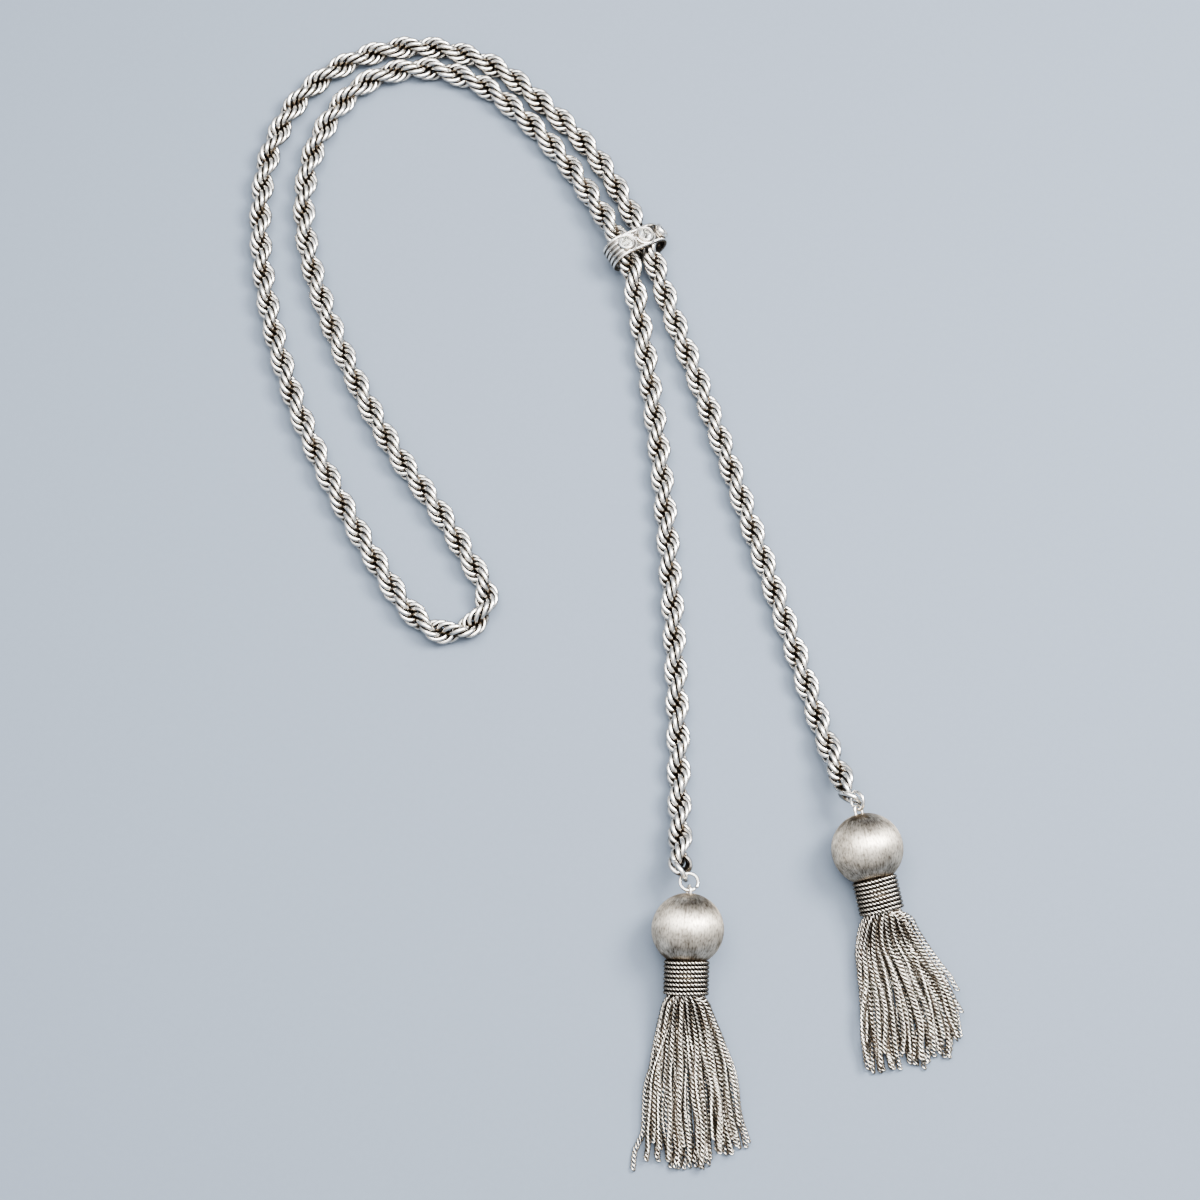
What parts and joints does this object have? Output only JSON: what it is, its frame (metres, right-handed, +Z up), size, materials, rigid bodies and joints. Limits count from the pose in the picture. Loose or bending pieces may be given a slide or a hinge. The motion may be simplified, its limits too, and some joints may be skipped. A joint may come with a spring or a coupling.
{
  "type": "tassel necklace",
  "caption": "Long silver-tone twisted rope chain necklace laid in a loop, gathered by a slide set with clear stones, with a ball and chain-fringe tassel on each end.",
  "frame": {"origin": "on the table under the middle of the laid necklace", "axes": "+Y up the necklace towards the arch, +X to the right, +Z up from the table"},
  "size_m": [0.1855, 0.3116, 0.0178],
  "materials": {
    "rope_metal": "bright silver plate with dark antiqued gaps",
    "slide_metal": "bright silver plate",
    "brushed_metal": "brushed antiqued silver plate",
    "fringe_metal": "antiqued silver plate",
    "clear_stone": "clear faceted glass"
  },
  "bodies": {
    "root": {"rope_chain_left": "rope_metal", "rope_chain_right": "rope_metal", "end_link_left": "rope_metal", "end_link_right": "rope_metal", "slide": "slide_metal", "stone_left": "clear_stone", "stone_middle": "clear_stone", "stone_right": "clear_stone", "jump_ring_left": "slide_metal", "jump_ring_right": "slide_metal", "eye_left": "slide_metal", "eye_right": "slide_metal", "ball_left": "brushed_metal", "ball_right": "brushed_metal", "collar_left": "fringe_metal", "collar_right": "fringe_metal", "fringe_left": "fringe_metal", "fringe_right": "fringe_metal"}
  },
  "joints": []
}
